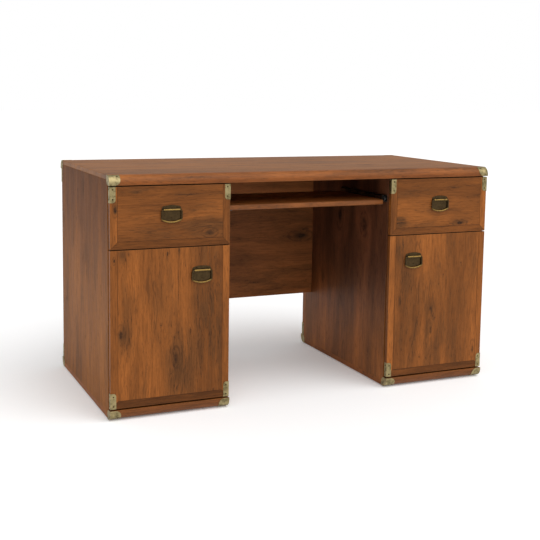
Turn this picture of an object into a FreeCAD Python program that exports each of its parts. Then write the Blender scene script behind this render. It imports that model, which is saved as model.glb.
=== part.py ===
import FreeCAD, Part
import math
import os
import Sketcher

# Twin pedestal computer desk. Millimetres, X to the right, Y to the rear, Z up.
# The origin lies on the floor under the middle of the whole desk, pulls and caps included.
# "Hand" is -1 for the left pedestal and +1 for the right one.

SIZES = {
    # The whole desk
    "desk_width": 1400,
    "desk_depth": 700,
    "desk_height": 780,
    "pedestal_width": 400,
    # Carcass boards
    "top_board": 16,
    "base_board": 16,
    "side_board": 16,
    "back_board": 18,
    "divider_board": 16,
    "modesty_board": 16,
    "modesty_clear_height": 228,
    "modesty_inset": 48,
    # Round-nosed mouldings
    "moulding_height": 32,
    "moulding_depth": 33,
    "moulding_round": 27,
    # Glides under the pedestals
    "glide_height": 3,
    "glide_top_radius": 13,
    "glide_foot_radius": 11,
    "glide_inset": 48,
    # Loose shelf and the pins that carry it
    "shelf_board": 16,
    "shelf_play": 1,
    "shelf_setback": 24,
    "shelf_rear_play": 3,
    "pin_radius": 2.5,
    "pin_depth": 9,
    "pin_reach": 8,
    "pin_inset": 60,
    "pin_pitch": 64,
    # Drawer fronts and doors
    "front_board": 18,
    "front_recess": 3,
    "front_gap": 4,
    "front_reveal": 1.5,
    "front_edge_round": 2,
    "drawer_front_height": 196,
    "gap_over_drawer": 4,
    "gap_over_door": 3,
    "gap_under_door": 5,
    "frame_width": 24,
    "frame_groove": 1.4,
    "frame_groove_depth": 0.7,
    # Brass corner caps and brackets
    "brass_sheet": 1.2,
    "cap_length": 35,
    "cap_depth": 34,
    "cap_round": 18,
    "bracket_width": 18,
    "bracket_height": 50,
    "bracket_depth": 14,
    "bracket_round": 10,
    # Pulls
    "plate_sheet": 1.5,
    "plate_width": 64,
    "plate_above": 15,
    "plate_below": 35,
    "plate_dome": 3,
    "plate_shoulder": 8,
    "plate_round": 8,
    "knuckle_width": 53,
    "knuckle_radius": 4.2,
    "knuckle_axis": 4.8,
    "bail_bar": 5.5,
    "bail_drop": 39,
    "bail_bend": 6,
    "bail_heel": 6,
    "bail_bow": 65,
    "bail_stub": 8,
    "bail_side_play": 0.4,
    "drawer_pull_rise": 21,
    "door_pull_drop": 77,
    "door_pull_inset": 96,
    # Door hinges
    "cup_end_distance": 90,
    "cup_radius": 17.5,
    "cup_depth": 13,
    "cup_wall": 1,
    "cup_rim": 1.5,
    "cup_margin": 3,
    "pivot_edge": 8.5,
    "pivot_back": 7,
    "hinge_pin_radius": 1.75,
    "hinge_pin_length": 20,
    "eye_radius": 3.6,
    "arm_sheet": 1.8,
    "arm_height": 6,
    "arm_bend": 10,
    "arm_length": 48,
    "block_setback": 6,
    "block_height": 30,
    # Drawer boxes
    "drawer_side": 12,
    "drawer_box_height": 130,
    "drawer_length": 480,
    "drawer_bottom": 4,
    "drawer_groove_depth": 6,
    "drawer_groove_rise": 10,
    "drawer_groove_play": 0.3,
    "drawer_lift": 18,
    # Roller runners of the drawers and the tray
    "runner_gap": 12.5,
    "runner_sheet": 1.2,
    "track_flange": 9,
    "track_setback": 3,
    "track_play": 1.5,
    "member_flange": 8,
    "member_foot": 10,
    "member_setback": 6,
    "roller_radius": 9,
    "roller_width": 7,
    "roller_chamfer": 0.8,
    "roller_inset": 14,
    "roller_end_play": 0.5,
    "stud_radius": 3,
    # Keyboard tray
    "tray_board": 18,
    "tray_depth": 320,
    "tray_round": 6,
    "tray_setback": 12,
    "tray_headroom": 93,
    "tray_sink": 8,
    # Clearances
    "running_fit": 0.05,
    "seat_fit": 0.1,
    "rolling_gap": 0.3,
}


class Length:
    """A size as a number, with the formula of sheet cells that gives it."""

    def __init__(self, value, text):
        self.value = float(value)
        self.text = text

    def __add__(self, other):
        other = as_length(other)
        return Length(self.value + other.value, f"({self.text} + {other.text})")

    def __sub__(self, other):
        other = as_length(other)
        return Length(self.value - other.value, f"({self.text} - {other.text})")

    def __mul__(self, other):
        other = as_length(other)
        return Length(self.value * other.value, f"({self.text} * {other.text})")

    def __truediv__(self, other):
        other = as_length(other)
        return Length(self.value / other.value, f"({self.text} / {other.text})")

    def __neg__(self):
        return self * -1

    __radd__ = __add__
    __rmul__ = __mul__


def as_length(value):
    """Give a plain number the same form as a size."""
    if isinstance(value, Length):
        return value
    return Length(value, f"({value})")


def root(value):
    """Square root of a product of two sizes."""
    return Length(math.sqrt(value.value), f"sqrt({value.text})")


class Sheet:
    """The driving dimensions, one cell each, read as sizes by name."""

    def __init__(self, doc, sizes):
        sheet = doc.addObject("Spreadsheet::Sheet", "Sizes")
        for row, (name, value) in enumerate(sizes.items(), start=1):
            sheet.set(f"A{row}", name)
            sheet.set(f"B{row}", str(value))
            sheet.setAlias(f"B{row}", name)
            setattr(self, name, Length(value, f"Sizes.{name}"))


doc = FreeCAD.newDocument("computer_desk")
s = Sheet(doc, SIZES)
doc.recompute()

ZERO = Length(0, "0")
LEFT, RIGHT = -1, 1
HANDS = {"left": LEFT, "right": RIGHT}
nodes = {}


# Building blocks

def bind(thing, name, size):
    """Tie one property of an object to the sheet."""
    thing.setExpression(name, as_length(size).text)


def place(thing, x=ZERO, y=ZERO, z=ZERO):
    """Tie an object's place to the sheet."""
    for axis, size in (("x", x), ("y", y), ("z", z)):
        bind(thing, f"Placement.Base.{axis}", size)
    return thing


def node(label, *pieces):
    """Name a sub-part: one piece, or a group of separate pieces that share a node."""
    piece = pieces[0]
    if len(pieces) > 1:
        piece = doc.addObject("Part::Compound", label)
        piece.Links = list(pieces)
    piece.Label = label
    nodes[label] = piece
    return piece


def board(x, y, z, size_x, size_y, size_z):
    """A plain sawn board, by its lowest corner and its three sizes."""
    box = doc.addObject("Part::Box", "Board")
    for name, size in (("Length", size_x), ("Width", size_y), ("Height", size_z)):
        bind(box, name, size)
    return place(box, x, y, z)


def low_x(hand, near, size):
    """Lowest X of a stretch that starts near the desk's middle plane and runs outwards."""
    return near if hand == RIGHT else -(near + size)


def new_body(x=ZERO, y=ZERO, z=ZERO):
    """An empty solid body at its place in the desk."""
    return place(doc.addObject("PartDesign::Body", "Body"), x, y, z)


def new_sketch(body, plane, offset=ZERO):
    """An empty sketch on one of the body's own planes, or parallel to it."""
    sketch = body.newObject("Sketcher::SketchObject", "Outline")
    support = [face for face in body.Origin.OriginFeatures if face.Role == plane][0]
    sketch.AttachmentSupport = [(support, "")]
    sketch.MapMode = "FlatFace"
    bind(sketch, "AttachmentOffset.Base.z", offset)
    return sketch


def pin_point(sketch, side, end, corner):
    """Hold one end of a side at its corner."""
    for kind, size in zip(("DistanceX", "DistanceY"), corner):
        index = sketch.addConstraint(Sketcher.Constraint(kind, side, end, as_length(size).value))
        bind(sketch, f"Constraints[{index}]", size)


def hold_radius(sketch, side, radius):
    """Hold the radius of an arc or circle."""
    index = sketch.addConstraint(Sketcher.Constraint("Radius", side, radius.value))
    bind(sketch, f"Constraints[{index}]", radius)


def arc_between(start, end, radius, turn):
    """Arc of under half a circle from start to end: turn is +1 to the left, -1 to the right."""
    chord = end - start
    rise = math.sqrt(max(radius ** 2 - chord.Length ** 2 / 4, 0))
    normal = FreeCAD.Vector(-chord.y, chord.x, 0) / chord.Length
    centre = (start + end) / 2 + normal * rise * turn
    first, last = (start, end) if turn > 0 else (end, start)
    angles = [math.atan2(point.y - centre.y, point.x - centre.x) for point in (first, last)]
    circle = Part.Circle(centre, FreeCAD.Vector(0, 0, 1), radius)
    return Part.ArcOfCircle(circle, *angles)


def draw(sketch, corners, rounds=None, closed=True):
    """Draw lines through the corners. rounds gives (radius, turn) for each side that is an arc."""
    rounds = rounds or {}
    points = [FreeCAD.Vector(as_length(x).value, as_length(y).value, 0) for x, y in corners]
    count = len(corners) if closed else len(corners) - 1
    sides = []
    for index in range(count):
        start, end = points[index], points[(index + 1) % len(points)]
        ends = (1, 2)
        if index in rounds:
            radius, turn = rounds[index]
            side = sketch.addGeometry(arc_between(start, end, radius.value, turn), False)
            hold_radius(sketch, side, radius)
            ends = (1, 2) if turn > 0 else (2, 1)
        else:
            side = sketch.addGeometry(Part.LineSegment(start, end), False)
        sides.append((side, *ends))
    for index, (side, start, end) in enumerate(sides):
        pin_point(sketch, side, start, corners[index])
        if closed or index + 1 < count:
            other, other_start, _ = sides[(index + 1) % count]
            sketch.addConstraint(Sketcher.Constraint("Coincident", side, end, other, other_start))
        else:
            pin_point(sketch, side, end, corners[-1])


def draw_circle(sketch, x, y, radius):
    """Draw a full circle."""
    centre = FreeCAD.Vector(as_length(x).value, as_length(y).value, 0)
    circle = Part.Circle(centre, FreeCAD.Vector(0, 0, 1), radius.value)
    side = sketch.addGeometry(circle, False)
    pin_point(sketch, side, 3, (x, y))
    hold_radius(sketch, side, radius)


def pad(body, sketch, length, reverse=False):
    """Raise a solid from a sketch, along the sketch's normal unless reversed."""
    feature = body.newObject("PartDesign::Pad", "Pad")
    feature.Profile = sketch
    feature.Reversed = reverse
    bind(feature, "Length", length)
    return body


def pocket(body, sketch, depth, reverse=False):
    """Cut a sketch into the body, against the sketch's normal unless reversed."""
    feature = body.newObject("PartDesign::Pocket", "Pocket")
    feature.Profile = sketch
    feature.Reversed = reverse
    bind(feature, "Length", depth)
    return body


def trim(body, sketch):
    """Cut a sketch right through the body, both ways."""
    feature = body.newObject("PartDesign::Pocket", "Trim")
    feature.Profile = sketch
    feature.SideType = "Symmetric"
    feature.Type = "ThroughAll"
    return body


def revolve(body, sketch, axis):
    """Turn a half section about one of the sketch's own axes."""
    feature = body.newObject("PartDesign::Revolution", "Turned")
    feature.Profile = sketch
    feature.ReferenceAxis = (sketch, [axis])
    feature.Angle = 360
    return body


# Levels and lines that the pieces share

pull_reach = s.knuckle_axis + s.knuckle_radius - s.front_recess
nose_y = (pull_reach - s.brass_sheet - s.desk_depth) / 2
tail_y = nose_y + s.desk_depth
lap = s.front_recess + s.front_board + s.front_gap
face_y = nose_y + s.front_recess
front_back_y = face_y + s.front_board
carcass_front = nose_y + lap
carcass_rear = tail_y - lap
carcass_depth = carcass_rear - carcass_front

outer_x = s.desk_width / 2
inner_x = outer_x - s.pedestal_width
cavity_x = inner_x + s.side_board
cavity_width = s.pedestal_width - 2 * s.side_board
middle_x = inner_x + s.pedestal_width / 2
front_near_x = inner_x + s.front_reveal
front_width = s.pedestal_width - 2 * s.front_reveal

base_z = s.glide_height
floor_z = base_z + s.base_board
under_top = s.desk_height - s.top_board
base_moulding_top = base_z + s.moulding_height
top_moulding_foot = s.desk_height - s.moulding_height
drawer_top = top_moulding_foot - s.gap_over_drawer
drawer_foot = drawer_top - s.drawer_front_height
door_top = drawer_foot - s.gap_over_door
door_foot = base_moulding_top + s.gap_under_door
door_height = door_top - door_foot
divider_foot = drawer_foot - s.gap_over_door / 2 - s.divider_board / 2
divider_top = divider_foot + s.divider_board
shelf_pin_z = floor_z + (divider_foot - floor_z) / 2

roller_z = s.runner_sheet + s.rolling_gap + s.roller_radius
member_flange_z = roller_z + s.roller_radius + s.rolling_gap
track_height = member_flange_z + s.runner_sheet + s.track_play + s.runner_sheet
stud_length = s.runner_sheet + s.rolling_gap + s.roller_width + s.roller_end_play


# Desktop, bottom boards and their mouldings

def moulding(x, length, y, z, back, up, seat):
    """Moulding with a round nose and a rebate of the seat board's thickness.

    back is the way from nose to desk along Y, up the way from the flat edge to the round one.
    """
    body = new_body(x, y, z)
    sketch = new_sketch(body, "YZ_Plane")
    height, depth, radius = s.moulding_height, s.moulding_depth, s.moulding_round
    corners = [
        (ZERO, ZERO),
        (lap, ZERO),
        (lap, height - seat),
        (depth, height - seat),
        (depth, height),
        (radius, height),
        (ZERO, height - radius),
    ]
    draw(sketch, [(back * v, up * w) for v, w in corners], {5: (radius, back * up)})
    return pad(body, sketch, length)


def desktop():
    """The long top board between its front and rear mouldings."""
    length = s.desk_width
    inset = s.moulding_depth
    node("desktop_board", board(-outer_x, nose_y + inset, under_top,
                                length, s.desk_depth - 2 * inset, s.top_board))
    node("desktop_front_moulding", moulding(-outer_x, length, nose_y, top_moulding_foot, 1, 1, s.top_board))
    node("desktop_rear_moulding", moulding(-outer_x, length, tail_y, top_moulding_foot, -1, 1, s.top_board))


def pedestal_bases():
    """A bottom board under each pedestal, with the mouldings turned over."""
    inset = s.moulding_depth
    ends = {hand: low_x(hand, inner_x, s.pedestal_width) for hand in (LEFT, RIGHT)}
    for name, hand in HANDS.items():
        node(f"{name}_bottom_board", board(ends[hand], nose_y + inset, base_z,
                                           s.pedestal_width, s.desk_depth - 2 * inset, s.base_board))
    for name, y, back in (("front", nose_y, 1), ("rear", tail_y, -1)):
        node(f"{name}_base_mouldings", *[
            moulding(x, s.pedestal_width, y, base_moulding_top, back, -1, s.base_board)
            for x in ends.values()])


# Pedestal carcasses

def side_panel(hand, near, holes_outwards):
    """Upright side with the blind holes for the shelf pins on its cupboard face."""
    body = new_body(low_x(hand, near, s.side_board), carcass_front, floor_z)
    height = under_top - floor_z
    sketch = new_sketch(body, "YZ_Plane")
    draw(sketch, [(ZERO, ZERO), (carcass_depth, ZERO), (carcass_depth, height), (ZERO, height)])
    pad(body, sketch, s.side_board)
    face_at_high_x = (hand == RIGHT) == holes_outwards
    holes = new_sketch(body, "YZ_Plane", s.side_board if face_at_high_x else ZERO)
    for y in (s.shelf_setback + s.pin_inset, carcass_depth - s.pin_inset):
        for row in (-1, 0, 1):
            draw_circle(holes, y, shelf_pin_z - floor_z + row * s.pin_pitch, s.pin_radius + s.running_fit)
    return pocket(body, holes, s.pin_depth + s.seat_fit, reverse=not face_at_high_x)


def shelf_pin(hand, outer, y):
    """Round pin, part in its hole and part under the shelf."""
    near = cavity_x - s.pin_depth
    if outer:
        near = outer_x - s.side_board - s.pin_reach
    length = s.pin_depth + s.pin_reach
    pin = doc.addObject("Part::Cylinder", "Pin")
    bind(pin, "Radius", s.pin_radius)
    bind(pin, "Height", length)
    pin.Placement = FreeCAD.Placement(FreeCAD.Vector(), FreeCAD.Rotation(FreeCAD.Vector(0, 1, 0), 90))
    return place(pin, low_x(hand, near, length), y, shelf_pin_z)


def carcasses():
    """Sides, back, divider, shelf and pins of both pedestals."""
    pins = []
    for name, hand in HANDS.items():
        node(f"{name}_inner_side", side_panel(hand, inner_x, holes_outwards=True))
        node(f"{name}_outer_side", side_panel(hand, outer_x - s.side_board, holes_outwards=False))
        node(f"{name}_back_panel", board(low_x(hand, front_near_x, front_width), carcass_rear,
                                         base_moulding_top, front_width, s.back_board,
                                         top_moulding_foot - base_moulding_top))
        node(f"{name}_divider", board(low_x(hand, cavity_x, cavity_width), carcass_front, divider_foot,
                                      cavity_width, carcass_depth, s.divider_board))
        shelf_width = cavity_width - 2 * s.shelf_play
        node(f"{name}_shelf", board(low_x(hand, cavity_x + s.shelf_play, shelf_width),
                                    carcass_front + s.shelf_setback,
                                    shelf_pin_z + s.pin_radius + s.running_fit, shelf_width,
                                    carcass_depth - s.shelf_setback - s.shelf_rear_play, s.shelf_board))
        for outer in (False, True):
            pins.append(shelf_pin(hand, outer, carcass_front + s.shelf_setback + s.pin_inset))
            pins.append(shelf_pin(hand, outer, carcass_rear - s.pin_inset))
    node("shelf_pins", *pins)
    node("modesty_panel", board(-inner_x, carcass_rear - s.modesty_inset - s.modesty_board,
                                s.modesty_clear_height, 2 * inner_x, s.modesty_board,
                                under_top - s.modesty_clear_height))


def glides():
    """Round feet under the corners of the pedestals."""
    feet = []
    for hand in (LEFT, RIGHT):
        for near in (inner_x + s.glide_inset, outer_x - s.glide_inset):
            for y in (nose_y + s.glide_inset, tail_y - s.glide_inset):
                foot = doc.addObject("Part::Cone", "Glide")
                bind(foot, "Radius1", s.glide_foot_radius)
                bind(foot, "Radius2", s.glide_top_radius)
                bind(foot, "Height", s.glide_height)
                feet.append(place(foot, hand * near, y, ZERO))
    node("glides", *feet)


# Brass fittings

def corner_cap(x, y, z, out, back, up):
    """Sheet cap over the end of a moulding: a face that follows the round nose, and an end wing.

    out is the way off the moulding's end along X, back and up are the moulding's own.
    """
    sheet, length, depth, corner = s.brass_sheet, s.cap_length, s.cap_depth, s.cap_round
    height, inner = s.moulding_height, s.moulding_round
    outer = inner + sheet
    reach = root(outer * outer - inner * inner)
    crown = (inner - reach, height)
    inner_crown = (inner - reach * inner / outer, height - inner + inner * inner / outer)
    shoulder = height - inner
    turn = back * up

    def across(points):
        return [(back * v, up * w) for v, w in points]

    body = new_body(x, y, z)
    face = new_sketch(body, "YZ_Plane")
    draw(face, across([(-sheet, ZERO), (-sheet, shoulder), crown, inner_crown, (ZERO, shoulder),
                       (ZERO, ZERO)]),
         {1: (outer, -turn), 3: (inner, turn)})
    pad(body, face, length, reverse=out > 0)
    wing = new_sketch(body, "YZ_Plane")
    draw(wing, across([(-sheet, ZERO), (-sheet, shoulder), crown, (depth, height), (depth, corner),
                       (depth - corner, ZERO)]),
         {1: (outer, -turn), 4: (corner, -turn)})
    pad(body, wing, sheet, reverse=out < 0)
    end = new_sketch(body, "XZ_Plane")
    draw(end, [(-out * u, up * w) for u, w in ((length, ZERO), (length - corner, ZERO), (length, corner))],
         {1: (corner, -out * up)})
    return trim(body, end)


def corner_bracket(x, y, z, across, back, up):
    """Angle bracket over a corner of a front: a face wing with one round corner, and an edge wing.

    across, back and up are the ways from the corner along the face, into the edge and along the height.
    """
    sheet, width, height, radius = s.brass_sheet, s.bracket_width, s.bracket_height, s.bracket_round
    body = new_body(x, y, z)
    section = new_sketch(body, "XY_Plane")
    corners = [(-sheet, -sheet), (width, -sheet), (width, ZERO), (ZERO, ZERO), (ZERO, s.bracket_depth),
               (-sheet, s.bracket_depth)]
    draw(section, [(across * u, back * v) for u, v in corners])
    pad(body, section, height, reverse=up < 0)
    end = new_sketch(body, "XZ_Plane")
    corners = [(width, height), (width - radius, height), (width, height - radius)]
    draw(end, [(across * u, up * w) for u, w in corners], {1: (radius, -across * up)})
    return trim(body, end)


def front_bracket_pair(hand, z, up):
    """The two brackets at the top or the foot of a drawer front or door."""
    ends = ((hand * front_near_x, hand), (hand * (front_near_x + front_width), -hand))
    return [corner_bracket(x, face_y, z, across, 1, up) for x, across in ends]


def carcass_brass():
    """Caps on all the mouldings, and brackets on the corners of the back panels."""
    caps = [corner_cap(out * outer_x, y, top_moulding_foot, out, back, 1)
            for out in (LEFT, RIGHT) for y, back in ((nose_y, 1), (tail_y, -1))]
    node("desktop_corner_caps", *caps)
    caps = [corner_cap(hand * near, y, base_moulding_top, out, back, -1)
            for hand in (LEFT, RIGHT)
            for near, out in ((inner_x, -hand), (outer_x, hand))
            for y, back in ((nose_y, 1), (tail_y, -1))]
    node("base_corner_caps", *caps)
    back_y = carcass_rear + s.back_board
    brackets = [corner_bracket(hand * near, back_y, z, across, -1, up)
                for hand in (LEFT, RIGHT)
                for near, across in ((front_near_x, hand), (front_near_x + front_width, -hand))
                for z, up in ((base_moulding_top, 1), (top_moulding_foot, -1))]
    node("back_corner_brackets", *brackets)


# Pulls

def pull_plate(x, z):
    """Back plate with a shallow dome between round shoulders, and the rolled knuckle that holds the bail."""
    half, below, radius, shoulder = s.plate_width / 2, s.plate_below, s.plate_round, s.plate_shoulder
    eaves = s.plate_above - s.plate_dome
    top = half - shoulder
    dome = (top * top + s.plate_dome * s.plate_dome) / (2 * s.plate_dome)
    body = new_body(x, face_y, z)
    outline = new_sketch(body, "XZ_Plane")
    corners = [(radius - half, -below), (half - radius, -below), (half, radius - below),
               (half, eaves - shoulder), (top, eaves), (-top, eaves), (-half, eaves - shoulder),
               (-half, radius - below)]
    draw(outline, corners,
         {1: (radius, 1), 3: (shoulder, 1), 4: (dome, 1), 5: (shoulder, 1), 7: (radius, 1)})
    pad(body, outline, s.plate_sheet)
    knuckle = new_sketch(body, "YZ_Plane", -s.knuckle_width / 2)
    draw_circle(knuckle, -s.knuckle_axis, ZERO, s.knuckle_radius)
    draw_circle(knuckle, -s.knuckle_axis, ZERO, s.bail_bar / 2 + s.running_fit)
    return pad(body, knuckle, s.knuckle_width)


def pull_bail(x, z):
    """Bent round bar: two stubs in the knuckle, two legs, and a bowed grip between round heels."""
    bend, heel, bow = s.bail_bend, s.bail_heel, s.bail_bow
    leg = s.knuckle_width / 2 + s.bail_side_play + bend
    stub = s.knuckle_width / 2 - s.bail_stub
    bow_z = bow - s.bail_drop
    spread = leg - heel
    slope = root((bow - heel) * (bow - heel) - spread * spread)
    heel_z = bow_z - slope
    stretch = bow / (bow - heel)
    grip = (spread * stretch, bow_z - slope * stretch)
    body = new_body(x, face_y - s.knuckle_axis, z)
    path = new_sketch(body, "XZ_Plane")
    half = [(stub, ZERO), (leg - bend, ZERO), (leg, -bend), (leg, heel_z), grip]
    corners = [(-u, w) for u, w in half] + half[::-1]
    draw(path, corners, {1: (bend, 1), 3: (heel, 1), 4: (bow, 1), 5: (heel, 1), 7: (bend, 1)}, closed=False)
    section = new_sketch(body, "YZ_Plane", -stub)
    draw_circle(section, ZERO, ZERO, s.bail_bar / 2)
    feature = body.newObject("PartDesign::AdditivePipe", "Bar")
    feature.Profile = section
    feature.Spine = path
    return body


def pull(name, x, z):
    """One pull: its plate and its bail."""
    node(f"{name}_handle_plate", pull_plate(x, z))
    node(f"{name}_bail", pull_bail(x, z))


# Drawer fronts and doors

def front_board(hand, z, height):
    """Overlay board with eased rear edges, its frame marked by fine grooves on three sides."""
    width, thick, ease = front_width, s.front_board, s.front_edge_round
    frame, groove = s.frame_width, s.frame_groove
    body = new_body(low_x(hand, front_near_x, width), front_back_y, z)
    section = new_sketch(body, "XY_Plane")
    corners = [(ZERO, -thick), (width, -thick), (width, -ease), (width - ease, ZERO), (ease, ZERO),
               (ZERO, -ease)]
    draw(section, corners, {2: (ease, 1), 4: (ease, 1)})
    pad(body, section, height)
    lines = new_sketch(body, "XZ_Plane", thick)
    low, high = frame - groove / 2, frame + groove / 2
    draw(lines, [(low, height), (low, low), (width - low, low), (width - low, height),
                 (width - high, height), (width - high, high), (high, high), (high, height)])
    pocket(body, lines, s.frame_groove_depth)
    mitres = new_sketch(body, "XZ_Plane", thick)
    draw(mitres, [(ZERO, ZERO), (groove, ZERO), (frame, frame - groove), (frame, frame)])
    draw(mitres, [(width, ZERO), (width - frame, frame), (width - frame, frame - groove),
                  (width - groove, ZERO)])
    return pocket(body, mitres, s.frame_groove_depth)


def hinge_levels():
    """Heights of the hinges on a door."""
    return (door_foot + s.cup_end_distance, door_top - s.cup_end_distance)


cup_edge = s.cup_margin + s.cup_radius
pivot_in_cup = cup_edge - s.pivot_edge
front_far_x = front_near_x + front_width


def hinge_cup(hand, z):
    """Turned cup with a rim, let into the door, and the upright pin across it."""
    radius, wall, depth = s.cup_radius, s.cup_wall, s.cup_depth
    body = new_body(hand * (front_far_x - cup_edge), front_back_y, z)
    section = new_sketch(body, "XY_Plane")
    draw(section, [(ZERO, -depth), (radius, -depth), (radius, ZERO), (radius + s.cup_rim, ZERO),
                   (radius + s.cup_rim, wall), (radius - wall, wall), (radius - wall, wall - depth),
                   (ZERO, wall - depth)])
    revolve(body, section, "V_Axis")
    pin = new_sketch(body, "XY_Plane", -s.hinge_pin_length / 2)
    draw_circle(pin, hand * pivot_in_cup, -s.pivot_back, s.hinge_pin_radius)
    return pad(body, pin, s.hinge_pin_length)


def hinge_arm(hand, z):
    """Cranked arm from an eye round the door's pin to a block on the side panel."""
    body = new_body(hand * (front_far_x - s.pivot_edge), front_back_y - s.pivot_back, z)
    half, bend, eye = s.arm_sheet / 2, s.arm_bend, s.eye_radius
    bore = s.hinge_pin_radius + s.running_fit
    lead = (bore + eye) / 2
    foot = -s.arm_height / 2
    inwards = -hand

    def across(points):
        return [(inwards * u, v) for u, v in points]

    ring = new_sketch(body, "XY_Plane", foot)
    draw_circle(ring, ZERO, ZERO, eye)
    draw_circle(ring, ZERO, ZERO, bore)
    pad(body, ring, s.arm_height)
    strip = new_sketch(body, "XY_Plane", foot)
    near_face, far_face = eye + bend - half, eye + bend + half
    draw(strip, across([(lead, -half), (eye, -half), (far_face, bend), (far_face, s.arm_length),
                        (near_face, s.arm_length), (near_face, bend), (eye, half), (lead, half)]),
         {1: (bend + half, inwards), 5: (bend - half, -inwards)})
    pad(body, strip, s.arm_height)
    seat = s.side_board - s.front_reveal - s.pivot_edge
    start = s.pivot_back + s.front_gap + s.block_setback
    block = new_sketch(body, "XY_Plane", -s.block_height / 2)
    draw(block, across([(seat, start), (far_face, start), (far_face, s.arm_length), (seat, s.arm_length)]))
    return pad(body, block, s.block_height)


def doors():
    """Both doors with their hinges, brackets and pulls."""
    for name, hand in HANDS.items():
        panel = front_board(hand, door_foot, door_height)
        bores = new_sketch(panel, "XZ_Plane")
        bore_x = front_width - cup_edge if hand == RIGHT else cup_edge
        for z in hinge_levels():
            draw_circle(bores, bore_x, z - door_foot, s.cup_radius + s.seat_fit)
        pocket(panel, bores, s.cup_depth + s.seat_fit, reverse=True)
        node(f"{name}_door_panel", panel)
        node(f"{name}_door_hinge_cups", *[hinge_cup(hand, z) for z in hinge_levels()])
        node(f"{name}_door_corner_brackets", *front_bracket_pair(hand, door_foot, 1))
        pull(f"{name}_door", hand * (front_near_x + s.door_pull_inset), door_top - s.door_pull_drop)
    node("door_hinge_arms", *[hinge_arm(hand, z) for hand in (LEFT, RIGHT) for z in hinge_levels()])


# Runners

def track(wall_x, inwards, y, z, length):
    """Cabinet half of a runner: a channel on the wall, and the stud of its front roller."""
    sheet, flange = s.runner_sheet, s.track_flange
    body = new_body(wall_x, y, z)
    section = new_sketch(body, "XZ_Plane")
    corners = [(ZERO, ZERO), (flange, ZERO), (flange, sheet), (sheet, sheet), (sheet, track_height - sheet),
               (flange, track_height - sheet), (flange, track_height), (ZERO, track_height)]
    draw(section, [(inwards * u, w) for u, w in corners])
    pad(body, section, length, reverse=True)
    stud = new_sketch(body, "YZ_Plane")
    draw_circle(stud, s.roller_inset, roller_z, s.stud_radius)
    return pad(body, stud, stud_length, reverse=inwards < 0)


def member(side_x, outwards, y, z, length, foot):
    """Moving half of a runner: foot under the drawer, web, flange over the rollers, rear stud."""
    sheet, flange = s.runner_sheet, s.member_flange
    body = new_body(side_x, y, z)
    section = new_sketch(body, "XZ_Plane")
    low, high = member_flange_z, member_flange_z + sheet
    corners = [(-s.member_foot, foot), (sheet, foot), (sheet, low), (sheet + flange, low),
               (sheet + flange, high), (ZERO, high), (ZERO, foot + sheet), (-s.member_foot, foot + sheet)]
    draw(section, [(outwards * u, w) for u, w in corners])
    pad(body, section, length, reverse=True)
    stud = new_sketch(body, "YZ_Plane")
    draw_circle(stud, length - s.roller_inset, roller_z, s.stud_radius)
    return pad(body, stud, stud_length, reverse=outwards < 0)


def roller(web_x, way, y, z):
    """Turned roller with eased rims, on a stud that stands off a web."""
    radius, width, ease = s.roller_radius, s.roller_width, s.roller_chamfer
    start = s.runner_sheet + s.rolling_gap
    end = start + width
    bore = s.stud_radius + s.running_fit
    body = new_body(web_x, y, z + roller_z)
    section = new_sketch(body, "XY_Plane")
    corners = [(start, bore), (end, bore), (end, radius - ease), (end - ease, radius), (start + ease, radius),
               (start, radius - ease)]
    draw(section, [(way * u, v) for u, v in corners])
    return revolve(body, section, "H_Axis")


def runner_set(walls, sides, track_y, track_z, member_y, member_length, foot):
    """A pair of runners, left then right: tracks, members, front rollers and rear rollers."""
    tracks, members, front_rollers, rear_rollers = [], [], [], []
    track_length = member_y + member_length - track_y
    rear_y = member_y + member_length - s.roller_inset
    for wall_x, side_x, inwards in zip(walls, sides, (1, -1)):
        tracks.append(track(wall_x, inwards, track_y, track_z, track_length))
        members.append(member(side_x, -inwards, member_y, track_z, member_length, foot))
        front_rollers.append(roller(wall_x, inwards, track_y + s.roller_inset, track_z))
        rear_rollers.append(roller(side_x, -inwards, rear_y, track_z))
    return tracks, members, front_rollers, rear_rollers


# Drawers

def drawer_side(x, inwards, z):
    """Drawer side with the groove for the bottom along its inner face."""
    thick, rise = s.drawer_side, s.drawer_groove_rise
    bed = thick - s.drawer_groove_depth
    lip = rise + s.drawer_bottom + s.drawer_groove_play
    body = new_body(x, front_back_y, z)
    section = new_sketch(body, "XZ_Plane")
    corners = [(ZERO, ZERO), (thick, ZERO), (thick, rise), (bed, rise), (bed, lip), (thick, lip),
               (thick, s.drawer_box_height), (ZERO, s.drawer_box_height)]
    draw(section, [(inwards * u, w) for u, w in corners])
    return pad(body, section, s.drawer_length, reverse=True)


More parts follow.
